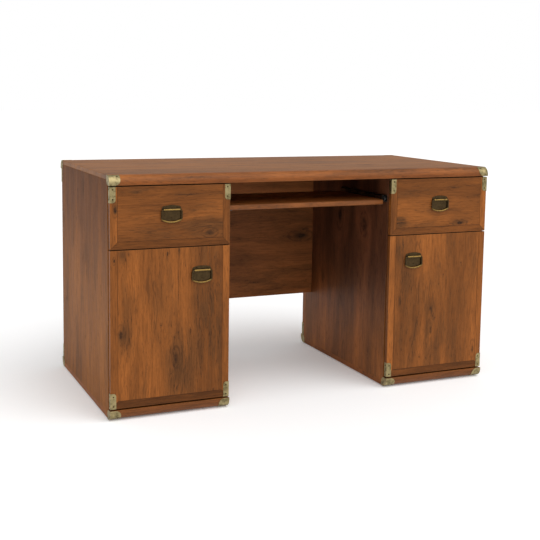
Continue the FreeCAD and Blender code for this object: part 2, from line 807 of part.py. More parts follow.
def drawers():
    """Both drawers: fronts, boxes, runners, brackets and pulls."""
    all_tracks = []
    track_z = divider_top + s.drawer_lift
    box_z = track_z + s.runner_sheet
    half = cavity_width / 2 - s.runner_gap
    bottom_z = box_z + s.drawer_groove_rise
    back_z = bottom_z + s.drawer_bottom
    box_rear = front_back_y + s.drawer_length
    tongue = s.drawer_groove_depth - s.drawer_groove_play
    for name, hand in HANDS.items():
        centre = hand * middle_x
        inside = half - s.drawer_side
        node(f"{name}_drawer_front", front_board(hand, drawer_foot, s.drawer_front_height))
        node(f"{name}_drawer_sides",
             drawer_side(centre - half, 1, box_z), drawer_side(centre + half, -1, box_z))
        node(f"{name}_drawer_back", board(centre - inside, box_rear - s.drawer_side, back_z, 2 * inside,
                                          s.drawer_side, box_z + s.drawer_box_height - back_z))
        node(f"{name}_drawer_bottom", board(centre - inside - tongue, front_back_y, bottom_z,
                                            2 * (inside + tongue), s.drawer_length, s.drawer_bottom))
        walls = (centre - cavity_width / 2, centre + cavity_width / 2)
        sides = (centre - half, centre + half)
        tracks, members, front_rollers, rear_rollers = runner_set(
            walls, sides, carcass_front + s.track_setback, track_z, front_back_y + s.member_setback,
            s.drawer_length - s.member_setback, ZERO)
        all_tracks += tracks
        node(f"{name}_drawer_runners", *members)
        node(f"{name}_drawer_front_rollers", *front_rollers)
        node(f"{name}_drawer_rear_rollers", *rear_rollers)
        node(f"{name}_drawer_corner_brackets", *front_bracket_pair(hand, drawer_top, -1))
        pull(f"{name}_drawer", centre, drawer_foot + s.drawer_front_height / 2 + s.drawer_pull_rise)
    node("drawer_tracks", *all_tracks)


# Keyboard tray

def keyboard_tray():
    """Tray board with a rounded front edge, hung on runners between the pedestals."""
    depth, thick, radius = s.tray_depth, s.tray_board, s.tray_round
    half = inner_x - s.runner_gap
    tray_top = under_top - s.tray_headroom
    tray_y = carcass_front + s.tray_setback
    body = new_body(-half, tray_y, tray_top - thick)
    section = new_sketch(body, "YZ_Plane")
    corners = [(radius, ZERO), (depth, ZERO), (depth, thick), (radius, thick), (ZERO, thick - radius),
               (ZERO, radius)]
    draw(section, corners, {3: (radius, 1), 5: (radius, 1)})
    node("tray_board", pad(body, section, 2 * half))
    foot = s.tray_sink - thick - s.runner_sheet
    tracks, members, front_rollers, rear_rollers = runner_set(
        (-inner_x, inner_x), (-half, half), carcass_front + s.track_setback, tray_top - s.tray_sink,
        tray_y + s.member_setback, depth - s.member_setback, foot)
    node("tray_tracks", *tracks)
    node("tray_runners", *members)
    node("tray_front_rollers", *front_rollers)
    node("tray_rear_rollers", *rear_rollers)


def check_document():
    """Stop if any object failed, or any sub-part has no sound shape."""
    for thing in doc.Objects:
        faults = {"Invalid", "Error"} & set(thing.State)
        if faults:
            raise RuntimeError(f"{thing.Label} is {faults}")
    for label, thing in nodes.items():
        if thing.Shape.isNull() or not thing.Shape.isValid():
            raise RuntimeError(f"{label} has no sound shape")


def write_parts():
    """Write one file for each sub-part."""
    os.makedirs("parts", exist_ok=True)
    for label, thing in nodes.items():
        thing.Shape.exportStep(f"parts/{label}.step")


desktop()
pedestal_bases()
carcasses()
glides()
carcass_brass()
drawers()
doors()
keyboard_tray()
doc.recompute()
check_document()
write_parts()
print(len(nodes), "sub-parts written")
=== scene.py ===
import math
import bpy
import numpy as np
from mathutils import Matrix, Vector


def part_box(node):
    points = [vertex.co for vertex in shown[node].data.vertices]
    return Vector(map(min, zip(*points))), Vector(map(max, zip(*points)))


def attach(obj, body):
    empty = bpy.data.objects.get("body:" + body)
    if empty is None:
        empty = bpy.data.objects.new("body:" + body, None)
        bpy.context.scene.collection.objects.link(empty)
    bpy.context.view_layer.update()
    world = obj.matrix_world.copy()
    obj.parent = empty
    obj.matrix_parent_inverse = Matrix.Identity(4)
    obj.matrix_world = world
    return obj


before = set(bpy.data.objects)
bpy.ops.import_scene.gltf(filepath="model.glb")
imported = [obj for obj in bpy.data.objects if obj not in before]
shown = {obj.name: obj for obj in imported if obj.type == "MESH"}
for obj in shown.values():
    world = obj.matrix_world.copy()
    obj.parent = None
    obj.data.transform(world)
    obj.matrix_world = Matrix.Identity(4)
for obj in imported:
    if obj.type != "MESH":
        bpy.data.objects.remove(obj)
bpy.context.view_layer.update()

# Looks of a twin-pedestal computer desk in knotty brown wood with antique brass corners.
# Metres, X to the right, Y to the rear, Z up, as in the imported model. Only the knots, and the profiles of
# nails and screws, are in millimetres.

MILLIMETRES = 1000


# Wiring of materials

class Wiring:
    """Adds nodes to one tree. A value fed to a node is another node's socket, or a plain number or tuple."""

    def __init__(self, tree):
        self.tree = tree
        tree.nodes.clear()

    def add(self, kind, feeds, **settings):
        node = self.tree.nodes.new(kind)
        for name, value in settings.items():
            setattr(node, name, value)
        for key, value in feeds.items():
            if isinstance(value, bpy.types.NodeSocket):
                self.tree.links.new(value, node.inputs[key])
            else:
                node.inputs[key].default_value = value
        return node

    def math(self, operation, *values):
        return self.add("ShaderNodeMath", dict(enumerate(values)), operation=operation).outputs[0]

    def vector(self, operation, *values):
        return self.add("ShaderNodeVectorMath", dict(enumerate(values)), operation=operation).outputs[0]

    def scaled(self, vector, size):
        return self.add("ShaderNodeVectorMath", {0: vector, "Scale": size}, operation="SCALE").outputs[0]

    def rise(self, value, low, high):
        """Smooth step: 0 at low, 1 at high."""
        feeds = {"Value": value, "From Min": low, "From Max": high}
        return self.add("ShaderNodeMapRange", feeds, interpolation_type="SMOOTHSTEP").outputs[0]

    def mix(self, kind, pair, result, share, first, second):
        """Mix of one kind of data, which has its own pair of sockets and its own result on the node."""
        feeds = {0: share, pair: first, pair + 1: second}
        return self.add("ShaderNodeMix", feeds, data_type=kind).outputs[result]

    def between(self, share, first, second):
        return self.mix("FLOAT", 2, 0, share, first, second)

    def path(self, share, first, second):
        return self.mix("VECTOR", 4, 1, share, first, second)

    def tint(self, share, first, second):
        return self.mix("RGBA", 6, 2, share, first, second)

    def split(self, vector):
        return self.add("ShaderNodeSeparateXYZ", {0: vector}).outputs

    def join(self, x, y, z):
        return self.add("ShaderNodeCombineXYZ", {0: x, 1: y, 2: z}).outputs[0]

    def grain(self, place, stretch, detail, rough=0.5):
        """Even noise over a place that is stretched first, so a small stretch makes long marks."""
        stretched = self.vector("MULTIPLY", place, stretch)
        feeds = {"Vector": stretched, "Scale": 1.0, "Detail": detail, "Roughness": rough}
        return self.add("ShaderNodeTexNoise", feeds).outputs[0]

    def swing(self, noise):
        """Noise about zero: its own middle is at a half."""
        return self.math("SUBTRACT", noise, 0.5)

    def use(self, group, feeds):
        return self.add("ShaderNodeGroup", feeds, node_tree=group).outputs


def group(name, takes, gives):
    """A new node group, with its wiring, the sockets it takes and the sockets it gives."""
    tree = bpy.data.node_groups.new(name, "ShaderNodeTree")
    kinds = {"v": "NodeSocketVector", "n": "NodeSocketFloat", "c": "NodeSocketColor"}
    for way, sockets in (("INPUT", takes), ("OUTPUT", gives)):
        for label, kind in sockets.items():
            tree.interface.new_socket(label, in_out=way, socket_type=kinds[kind])
    wiring = Wiring(tree)
    start = tree.nodes.new("NodeGroupInput")
    end = tree.nodes.new("NodeGroupOutput")
    return tree, wiring, start.outputs, lambda label, socket: tree.links.new(socket, end.inputs[label])


def tone(red, green, blue):
    """A colour given in the usual 0 to 255 steps, as linear light: straight up to a knee, then a power."""
    knee, slope, offset, power = 0.04045, 12.92, 0.055, 2.4
    steps = np.array([red, green, blue]) / 255
    linear = np.where(steps <= knee, steps / slope, ((steps + offset) / (1 + offset)) ** power)
    return (*linear.tolist(), 1.0)


def finish_named(name):
    """A new material with one shader, its wiring and the object's own coordinates."""
    material = bpy.data.materials.new(name)
    material.use_nodes = True
    wiring = Wiring(material.node_tree)
    shader = wiring.add("ShaderNodeBsdfPrincipled", {})
    wiring.add("ShaderNodeOutputMaterial", {0: shader.outputs[0]})
    place = wiring.add("ShaderNodeTexCoord", {}).outputs["Object"]
    return material, wiring, shader, place


def feed(wiring, shader, colour, roughness, height, bump, depth):
    """Wire colour, roughness and a bump of the given strength and depth into the shader."""
    raised = wiring.add("ShaderNodeBump", {"Strength": bump, "Distance": depth, "Height": height})
    for label, socket in (("Base Color", colour), ("Roughness", roughness), ("Normal", raised.outputs[0])):
        wiring.tree.links.new(socket, shader.inputs[label])


def dress(node, material):
    """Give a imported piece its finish."""
    shown[node].data.materials.clear()
    shown[node].data.materials.append(material)


# Figure of the wood

LIGHT, BROWN, DEEP = tone(147, 86, 37), tone(116, 67, 28), tone(74, 48, 25)
MARKED, RUBBED_WOOD = tone(50, 31, 18), tone(166, 108, 60)

# Noise in the wood: marks to a metre along the grain, across it and into the board, then detail and roughness
WANDER = ((1.4, 5.0, 5.0), 2.0)
RIPPLE = ((7.0, 18.0, 18.0), 1.0)
BROKEN_RINGS = ((35.0, 60.0, 60.0), 2.0)
FIGURE_NOISE = {
    "broad": ((1.1, 8.0, 5.0), 3.0, 0.55),
    "bands": ((2.2, 48.0, 12.0), 4.0, 0.6),
    "lines": ((11.0, 190.0, 40.0), 4.0, 0.7),
    "flecks": ((38.0, 420.0, 110.0), 2.0, 0.6),
    "fibre": ((50.0, 1300.0, 200.0), 1.0),
    "ragged": ((4.5, 20.0, 9.0), 5.0, 0.7),
    "dashes": ((10.0, 300.0, 60.0), 2.0),
    "cracks": ((1.7, 15.0, 6.0), 2.0),
}


def knot_group():
    """One knot or stain in a board: a dark heart with rings, a shade round it, and the grain pushed apart.

    With u and v the distances from the heart in knot lengths and widths, and d the root of the sum of their
    squares, the heart is dark where d is under 1, the rings are the crests of the sine of 5.5 d out to a d of
    2.8, the shade is a bell of d, and the grain moves aside by a wider bell.
    """
    tree, w, take, give = group(
        "knot",
        {"Grain": "v", "Bend": "n", "Dark": "n", "Shade": "n", "Heart": "v", "Length": "n", "Width": "n",
         "Core": "n", "Stain": "n"},
        {"Bend": "n", "Dark": "n", "Shade": "n"})
    push_bell, push_share, shade_bell = 0.11, 0.8, 0.4
    ring_pitch, ring_crest, ring_reach, ring_depth = 5.5, (0.2, 0.95), (2.8, 0.6), 0.8
    unbroken = (0.36, 0.52)
    heart_reach, heart_depth = (1.05, 0.25), 0.8
    along, across, _ = w.split(w.vector("SUBTRACT", take["Grain"], take["Heart"]))
    u = w.math("DIVIDE", along, take["Length"])
    v = w.math("DIVIDE", across, take["Width"])
    square = w.math("MULTIPLY_ADD", u, u, w.math("MULTIPLY", v, v))
    distance = w.math("SQRT", square)
    bell = w.math("EXPONENT", w.math("MULTIPLY", square, -push_bell))
    push = w.math("MULTIPLY", w.math("MULTIPLY", across, bell), -push_share)
    give("Bend", w.math("MULTIPLY_ADD", push, take["Core"], take["Bend"]))
    crest = w.rise(w.math("SINE", w.math("MULTIPLY", distance, ring_pitch)), *ring_crest)
    crest = w.math("MULTIPLY", crest, w.rise(w.grain(take["Grain"], *BROKEN_RINGS), *unbroken))
    ringed = w.math("MULTIPLY", w.math("MULTIPLY", crest, w.rise(distance, *ring_reach)), ring_depth)
    heart = w.math("MULTIPLY_ADD", w.rise(distance, *heart_reach), heart_depth, ringed)
    give("Dark", w.math("MAXIMUM", take["Dark"], w.math("MULTIPLY", heart, take["Core"])))
    shade = w.math("EXPONENT", w.math("MULTIPLY", square, -shade_bell))
    give("Shade", w.math("MAXIMUM", take["Shade"], w.math("MULTIPLY", shade, take["Stain"])))
    return tree


def figure_group():
    """Figure of a knotty board, x along the grain, y across it and z into the board.

    The grain line is the distance across, moved by slow noise and by the knots. Bands, lines and fibres are
    noise stretched along the grain line, dark patches and dashes are its highest parts, and cracks are thin
    level lines of it. A stain lifts the noise, so that it fills with combed dark lines.
    """
    tree, w, take, give = group(
        "knotty figure",
        {"Grain": "v", "Bend": "n", "Dark": "n", "Shade": "n", "Light": "c", "Brown": "c", "Deep": "c",
         "Streaks": "n", "Worn": "n"},
        {"Colour": "c", "Roughness": "n", "Height": "n"})

    wander_by, ripple_by = 0.05, 0.008
    along, across, deep = w.split(take["Grain"])
    line = w.math("ADD", across, take["Bend"])
    line = w.math("MULTIPLY_ADD", w.swing(w.grain(take["Grain"], *WANDER)), wander_by, line)
    line = w.math("MULTIPLY_ADD", w.swing(w.grain(take["Grain"], *RIPPLE)), ripple_by, line)
    figure = w.join(along, line, deep)
    noise = {name: w.grain(figure, *kind) for name, kind in FIGURE_NOISE.items()}
    bands, lines, fibre, ragged = [noise[name] for name in ("bands", "lines", "fibre", "ragged")]

    comb, stain_lift, in_patch, patch_depth = 0.8, 0.20, (0.51, 0.71), 0.85
    combed = w.math("MULTIPLY_ADD", w.swing(lines), comb, ragged)
    combed = w.math("MULTIPLY_ADD", take["Shade"], stain_lift, combed)
    patch = w.math("MAXIMUM", take["Streaks"], take["Shade"])
    patch = w.math("MULTIPLY", w.rise(combed, *in_patch), patch)

    in_dash, dashes_in_patch, dashes_apart = (0.58, 0.72), 0.8, 0.2
    dashes = w.math("MULTIPLY_ADD", patch, dashes_in_patch, w.math("MULTIPLY", take["Streaks"], dashes_apart))
    dashes = w.math("MULTIPLY", w.rise(noise["dashes"], *in_dash), dashes)

    crack_width, cracks_where = (0.011, 0.003), (0.50, 0.56)
    crack = w.rise(w.math("ABSOLUTE", w.swing(noise["cracks"])), *crack_width)
    crack = w.math("MULTIPLY", crack, w.rise(ragged, *cracks_where))
    crack = w.math("MULTIPLY", crack, take["Streaks"])

    in_fleck, flecks_in_patch, flecks_apart = (0.55, 0.70), 0.5, 0.4
    flecks = w.math("MULTIPLY_ADD", patch, flecks_in_patch, flecks_apart)
    flecks = w.math("MULTIPLY", w.rise(noise["flecks"], *in_fleck), flecks)

    dash_depth, in_knot_line, knot_depth = 0.7, (0.25, 0.55), 0.9
    in_knot = w.math("MULTIPLY", take["Dark"], w.rise(lines, *in_knot_line))
    marks = w.math("MULTIPLY", w.math("MAXIMUM", dashes, crack), dash_depth)
    marks = w.math("MAXIMUM", marks, flecks)
    marks = w.math("MAXIMUM", marks, w.math("MULTIPLY", in_knot, knot_depth))

    in_brown, band_share, line_share, fibre_share, wear_depth = (0.36, 0.64), 0.55, 1.7, 0.4, 0.3
    colour = w.tint(w.rise(noise["broad"], *in_brown), take["Light"], take["Brown"])
    colour = w.tint(w.math("MULTIPLY", patch, patch_depth), colour, take["Deep"])
    level = 1.0
    for part, share in ((bands, band_share), (lines, line_share), (fibre, fibre_share)):
        level = w.math("MULTIPLY_ADD", w.swing(part), share, level)
    colour = w.tint(marks, w.scaled(colour, level), MARKED)
    give("Colour", w.tint(w.math("MULTIPLY", take["Worn"], wear_depth), colour, RUBBED_WOOD))

    rough, band_rough, mark_rough, worn_rough = 0.40, 0.16, 0.14, 0.12
    for part, share in ((bands, band_rough), (marks, mark_rough), (take["Worn"], worn_rough)):
        rough = w.math("MULTIPLY_ADD", part, share, rough)
    give("Roughness", rough)
    fibre_height, mark_depth = 0.5, 1.2
    height = w.math("MULTIPLY_ADD", fibre, fibre_height, lines)
    give("Height", w.math("MULTIPLY_ADD", marks, -mark_depth, height))
    return tree


def edge_group():
    """Distance from the nearest edge of a box: the middle one of the distances to its nearest faces."""
    tree, w, take, give = group("edge distance", {"Place": "v", "Low": "v", "High": "v"}, {"Distance": "n"})
    half = w.scaled(w.vector("SUBTRACT", take["High"], take["Low"]), 0.5)
    middle = w.scaled(w.vector("ADD", take["High"], take["Low"]), 0.5)
    off = w.vector("ABSOLUTE", w.vector("SUBTRACT", take["Place"], middle))
    a, b, c = w.split(w.vector("SUBTRACT", half, off))
    low = w.math("MINIMUM", a, b)
    high = w.math("MINIMUM", w.math("MAXIMUM", a, b), c)
    give("Distance", w.math("MAXIMUM", low, high))
    return tree


KNOT = knot_group()
FIGURE = figure_group()
EDGE = edge_group()

# Wood of boards and fronts

AXES = {"x": 0, "y": 1, "z": 2}
CUT_STEP = (3.71, 1.37, 2.23)
KNOT_EDGE = {"Scale": 70.0, "Detail": 4.0, "Roughness": 0.7}
KNOT_EDGE_SHAKE = 0.009
WEAR_NOISE = ((90.0, 90.0, 90.0), 3.0, 0.6)
WEAR_RAGGED, WEAR_LIMITS = 0.004, (0.0042, 0.0018)
WOOD_BUMP, WOOD_BUMP_DEPTH = 0.25, 0.0006
SHEEN, MOULDING_SHEEN = 0.12, 0.2
STREAKS, FRAME_STREAKS, INSIDE_STREAKS = 0.5, 0.3, 0.4
FRAME_WIDTH, FACE_DEPTH = 0.024, 0.0025
STILE_CUT, RAIL_CUT = 4.3, 8.1
# Painted shade: the groove round the panel is darkened as if shade lay in it.
GROOVE_SHADE, GROOVE_LIMITS, GROOVE_SHARE = tone(70, 42, 24), (0.0012, 0.0005), 0.55
# Painted shade: the top edge face of a front is darkened, so that the gap under the moulding reads dark.
TOP_EDGE_SHADE, TOP_EDGE_SHADE_LIMITS = tone(72, 44, 24), (0.0006, 0.0002)


def along_grain(w, place, corner, order, cut):
    """The place from a board's corner, its axes in the given order, and the same moved to a fresh cut."""
    parts = w.split(w.vector("SUBTRACT", place, tuple(corner)))
    grain = w.join(*[parts[AXES[axis]] for axis in order])
    return grain, w.vector("ADD", grain, tuple(cut * step for step in CUT_STEP))


def knots_in(w, grain, knots):
    """Chain of knots, each (along, across, length, width, core, stain), from the board's corner."""
    rough_edge = w.add("ShaderNodeTexNoise", {"Vector": grain, **KNOT_EDGE}).outputs["Color"]
    shake = w.vector("SUBTRACT", rough_edge, (0.5, 0.5, 0.5))
    shaken = w.vector("ADD", grain, w.scaled(shake, KNOT_EDGE_SHAKE))
    bend, dark, shade = 0.0, 0.0, 0.0
    for along, across, length, width, core, stain in knots:
        heart = (along / MILLIMETRES, across / MILLIMETRES, 0.0)
        bend, dark, shade = w.use(KNOT, {
            "Grain": shaken, "Bend": bend, "Dark": dark, "Shade": shade, "Heart": heart,
            "Length": length / MILLIMETRES, "Width": width / MILLIMETRES, "Core": core, "Stain": stain})
    return bend, dark, shade


def worn_edges(w, place, low, high):
    """Share of wear: full at the box's edges, gone a few millimetres from them, with a ragged limit."""
    distance = w.use(EDGE, {"Place": place, "Low": tuple(low), "High": tuple(high)})[0]
    ragged = w.grain(place, *WEAR_NOISE)
    return w.rise(w.math("MULTIPLY_ADD", ragged, WEAR_RAGGED, distance), *WEAR_LIMITS)


def figured(w, place, box, moved, knots, tones, streaks):
    """Colour, roughness and height of the wood in a box, with the bend, dark and shade of its knots."""
    feeds = dict(zip(("Bend", "Dark", "Shade", "Light", "Brown", "Deep"), (*knots, *tones)))
    return w.use(FIGURE, {"Grain": moved, **feeds, "Streaks": streaks, "Worn": worn_edges(w, place, *box)})


def board_wood(node, order, cut, knots=(), light=LIGHT, brown=BROWN, deep=DEEP, streaks=STREAKS, sheen=SHEEN,
               foot=None, head=None, rising=None):
    """Wood of one plain board.

    Its colour is multiplied by foot at the lower share of its height, by head at the upper one, and by a
    smooth step from one to the other in between: painted light and shade along the board's height.
    """
    low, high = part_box(node)
    material, w, shader, place = finish_named(f"{node}_wood")
    grain, moved = along_grain(w, place, low, order, cut)
    knotted = knots_in(w, grain, knots)
    colour, rough, height = figured(w, place, (low, high), moved, knotted, (light, brown, deep), streaks)
    # Painted light and shade: foot and head brighten or darken the board from bottom to top, as light falls
    # on it.
    if foot:
        levels = [low.z + share * (high.z - low.z) for share in rising]
        risen = w.rise(w.split(place)[2], *levels)
        colour = w.vector("MULTIPLY", colour, w.path(risen, foot, head))
    shader.inputs["Specular IOR Level"].default_value = sheen
    feed(w, shader, colour, rough, height, WOOD_BUMP, WOOD_BUMP_DEPTH)
    return material


def front_wood(node, order, cut, knots, stiles, rail, field=1.0, stile_knots=()):
    """Wood of a drawer front or door: a panel between two stiles and a bottom rail, mitred at the foot.

    The levels of the left and right stile, the rail and the field between them multiply the wood's tone.
    Painted shade darkens the groove round the panel and the top edge face.
    """
    low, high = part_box(node)
    material, w, shader, place = finish_named(f"{node}_wood")
    x, y, z = w.split(place)
    side = w.math("MINIMUM", w.math("SUBTRACT", x, low.x), w.math("SUBTRACT", high.x, x))
    foot = w.math("SUBTRACT", z, low.z)
    nearest = w.math("MINIMUM", side, foot)
    on_face = w.math("LESS_THAN", y, low.y + FACE_DEPTH)
    framed = w.math("MULTIPLY", w.math("LESS_THAN", nearest, FRAME_WIDTH), on_face)
    stile = w.math("MULTIPLY", framed, w.math("LESS_THAN", side, foot))
    bottom = w.math("SUBTRACT", framed, stile)
    panel = w.math("SUBTRACT", 1.0, framed)

    grain, moved = along_grain(w, place, low, order, cut)
    upright, upright_moved = along_grain(w, place, low, "zxy", cut + STILE_CUT)
    _, level_moved = along_grain(w, place, low, "xzy", cut + RAIL_CUT)
    moved = w.path(bottom, w.path(stile, moved, upright_moved), level_moved)
    in_panel = [w.math("MULTIPLY", socket, panel) for socket in knots_in(w, grain, knots)]
    in_stile = knots_in(w, upright, stile_knots)
    knotted = [w.math("MULTIPLY_ADD", a, stile, b) for a, b in zip(in_stile, in_panel)]
    streaky = w.math("MULTIPLY_ADD", framed, FRAME_STREAKS - STREAKS, STREAKS)
    colour, rough, height = figured(w, place, (low, high), moved, knotted, (LIGHT, BROWN, DEEP), streaky)

    at_right = w.math("GREATER_THAN", x, (low.x + high.x) / 2)
    level = w.between(stile, field, w.between(at_right, *stiles))
    colour = w.scaled(colour, w.between(bottom, level, rail))
    joint = w.math("ABSOLUTE", w.math("SUBTRACT", nearest, FRAME_WIDTH))
    mitre = w.math("ADD", w.math("ABSOLUTE", w.math("SUBTRACT", side, foot)), panel)
    # Painted shade in the groove between the panel and the frame.
    groove_shade = w.math("MULTIPLY", w.rise(w.math("MINIMUM", joint, mitre), *GROOVE_LIMITS), on_face)
    colour = w.tint(w.math("MULTIPLY", groove_shade, GROOVE_SHARE), colour, GROOVE_SHADE)
    # Painted shade on the top edge face, standing for the dark gap under the moulding.
    colour = w.tint(w.rise(z, *[high.z - depth for depth in TOP_EDGE_SHADE_LIMITS]), colour, TOP_EDGE_SHADE)
    shader.inputs["Specular IOR Level"].default_value = SHEEN
    feed(w, shader, colour, rough, height, WOOD_BUMP, WOOD_BUMP_DEPTH)
    return material


# Metals and plastics

def antique_brass():
    """Dull gold with olive tarnish in cloudy patches and fine rubbing marks."""
    gold, olive = tone(164, 149, 108), tone(108, 98, 67)
    clouds, rubs = ((60.0, 60.0, 60.0), 4.0, 0.65), ((60.0, 900.0, 900.0), 2.0)
    tarnish_limits, rub_share, cloud_height = (0.46, 0.78), 0.15, 1.5
    clean_rough, tarnish_rough = 0.45, 0.15
    material, w, shader, place = finish_named("antique_brass")
    cloud = w.grain(place, *clouds)
    rubbed = w.grain(place, *rubs)
    tarnish = w.rise(w.math("MULTIPLY_ADD", rubbed, rub_share, cloud), *tarnish_limits)
    colour = w.tint(tarnish, gold, olive)
    rough = w.math("MULTIPLY_ADD", tarnish, tarnish_rough, clean_rough)
    height = w.math("MULTIPLY_ADD", cloud, cloud_height, rubbed)
    shader.inputs["Metallic"].default_value = 1.0
    feed(w, shader, colour, rough, height, bump=0.2, depth=0.0004)
    return material


def dark_brass(name, axis_z, low_y, bright_low):
    """Dark bronze of a pull, rubbed to gold on the knuckle's nose and on the grip of the bail; the gold there
    is partly wear and partly a painted highlight.
    """
    dark, bronze, gold = tone(46, 36, 24), tone(92, 74, 48), tone(134, 107, 58)
    clouds, rubs = ((140.0, 140.0, 140.0), 4.0, 0.6), ((80.0, 900.0, 900.0), 2.0)
    grip_from, grip_to = 0.025, 0.036
    nose_limits, nose_under, nose_over = (0.0034, 0.0006), 0.003, 0.001
    worn_limits, rub_share = (0.42, 0.62), 0.3
    dull_rough, worn_smooth = 0.44, 0.16
    material, w, shader, place = finish_named(name)
    _, y, z = w.split(place)
    cloud = w.grain(place, *clouds)
    rubbed = w.grain(place, *rubs)
    # Gold on the knuckle's nose and the bail's grip: partly rubbed wear, partly a painted highlight where
    # these parts catch the light.
    if bright_low:
        wear_and_highlight = w.rise(z, axis_z - grip_from, axis_z - grip_to)
    else:
        outward = w.rise(y, *[low_y + depth for depth in nose_limits])
        wear_and_highlight = w.math("MULTIPLY", outward, w.rise(z, axis_z - nose_under, axis_z + nose_over))
    wear_and_highlight = w.math("MULTIPLY", wear_and_highlight, w.rise(w.math("MULTIPLY_ADD", rubbed, rub_share, cloud), *worn_limits))
    colour = w.tint(wear_and_highlight, w.tint(cloud, dark, bronze), gold)
    rough = w.math("MULTIPLY_ADD", wear_and_highlight, -worn_smooth, dull_rough)
    shader.inputs["Metallic"].default_value = 1.0
    feed(w, shader, colour, rough, w.math("ADD", cloud, rubbed), bump=0.2, depth=0.0003)
    return material


def plated(name, pale, dull, rough_low, stretch):
    """Plated, zinced or blacked metal: cloudy in tone, with fine drawn lines."""
    clouds, dull_limits, cloud_rough, drawn_detail = ((45.0, 45.0, 45.0), 3.0, 0.6), (0.35, 0.7), 0.2, 2.0
    material, w, shader, place = finish_named(name)
    cloud = w.grain(place, *clouds)
    drawn = w.grain(place, stretch, drawn_detail)
    colour = w.tint(w.rise(cloud, *dull_limits), pale, dull)
    rough = w.math("MULTIPLY_ADD", cloud, cloud_rough, rough_low)
    shader.inputs["Metallic"].default_value = 1.0
    feed(w, shader, colour, rough, drawn, bump=0.15, depth=0.0003)
    return material


def moulded(name, dark, pale):
    """Moulded plastic: fine even grain, scuffed paler in places."""
    fine_grain, scuffs = ((1500.0, 1500.0, 1500.0), 2.0), ((120.0, 120.0, 120.0), 4.0, 0.65)
    scuff_limits, low_rough, grain_rough = (0.52, 0.70), 0.40, 0.2
    material, w, shader, place = finish_named(name)
    fine = w.grain(place, *fine_grain)
    colour = w.tint(w.rise(w.grain(place, *scuffs), *scuff_limits), dark, pale)
    rough = w.math("MULTIPLY_ADD", fine, grain_rough, low_rough)
    feed(w, shader, colour, rough, fine, bump=0.2, depth=0.0002)
    return material


# Fronts, with the knots and stains that the photograph shows, measured from each front's lower left corner.
# A knot is (along the grain, across it, length, width, darkness of its core, darkness of its stain).

FRONTS = {
    "left_drawer_front": dict(
        order="xzy", cut=1.0, stiles=(1.06, 0.76), rail=0.48,
        knots=((328, 41, 20, 11, 0.9, 0.9), (318, 60, 110, 40, 0.0, 0.7), (83, 178, 26, 8, 0.35, 0.7),
               (39, 178, 14, 8, 0.3, 0.6), (253, 166, 90, 2.5, 0.6, 0.2), (196, 37, 60, 16, 0.0, 0.6)),
        stile_knots=((124, 17, 17, 7, 1.0, 1.0),)),
    "right_drawer_front": dict(
        order="xzy", cut=2.6, stiles=(0.88, 1.0), rail=0.66, field=0.88,
        knots=((288, 33, 22, 9, 0.8, 0.9), (288, 37, 34, 15, 0.0, 0.95), (36, 46, 30, 24, 0.2, 0.95),
               (256, 162, 16, 5, 0.4, 0.6), (317, 125, 12, 5, 0.3, 0.5), (144, 140, 60, 8, 0.0, 0.3),
               (200, 90, 190, 60, 0.0, 0.3))),
    "left_door_panel": dict(
        order="zxy", cut=5.2, stiles=(1.06, 0.96), rail=0.55, field=0.95,
        knots=((490, 39, 18, 14, 0.15, 0.8), (487, 186, 14, 5, 0.7, 0.6), (491, 225, 30, 7, 0.35, 0.9),
               (387, 223, 110, 1.4, 0.8, 0.0), (453, 246, 25, 2.5, 0.6, 0.2), (435, 356, 60, 22, 0.4, 0.7),
               (378, 355, 16, 10, 0.3, 0.7), (300, 332, 230, 50, 0.0, 0.9), (236, 34, 24, 10, 0.6, 0.9),
               (236, 42, 36, 22, 0.0, 0.95), (318, 48, 60, 18, 0.0, 0.6), (258, 165, 5, 3, 0.9, 0.0),
               (234, 265, 6, 3.5, 0.9, 0.0), (148, 215, 26, 10, 0.8, 0.9), (90, 218, 40, 12, 0.1, 0.7),
               (96, 198, 5, 3, 0.9, 0.0), (28, 344, 7, 5, 0.6, 0.5), (163, 146, 80, 14, 0.0, 0.5),
               (118, 232, 105, 52, 0.0, 0.95)),
        stile_knots=((473, 13, 9, 4, 0.9, 0.6),)),
    "right_door_panel": dict(
        order="zxy", cut=7.7, stiles=(1.22, 1.08), rail=0.57,
        knots=((356, 225, 7, 2.5, 0.8, 0.0), (329, 237, 14, 1.6, 0.8, 0.0), (321, 205, 7, 2, 0.8, 0.0),
               (395, 299, 4, 3, 0.9, 0.0), (419, 187, 10, 3, 0.6, 0.5), (226, 179, 34, 8, 0.4, 0.9),
               (154, 178, 26, 8, 0.45, 0.9), (199, 194, 5, 4, 0.7, 0.0), (271, 46, 28, 9, 0.5, 0.9),
               (60, 134, 8, 4, 0.7, 0.4), (69, 363, 24, 9, 0.5, 0.8), (455, 42, 60, 24, 0.0, 0.85),
               (335, 73, 90, 30, 0.0, 0.7), (145, 44, 60, 22, 0.0, 0.7), (150, 180, 160, 85, 0.0, 0.75))),
}
for name, looks in FRONTS.items():
    dress(name, front_wood(name, **looks))
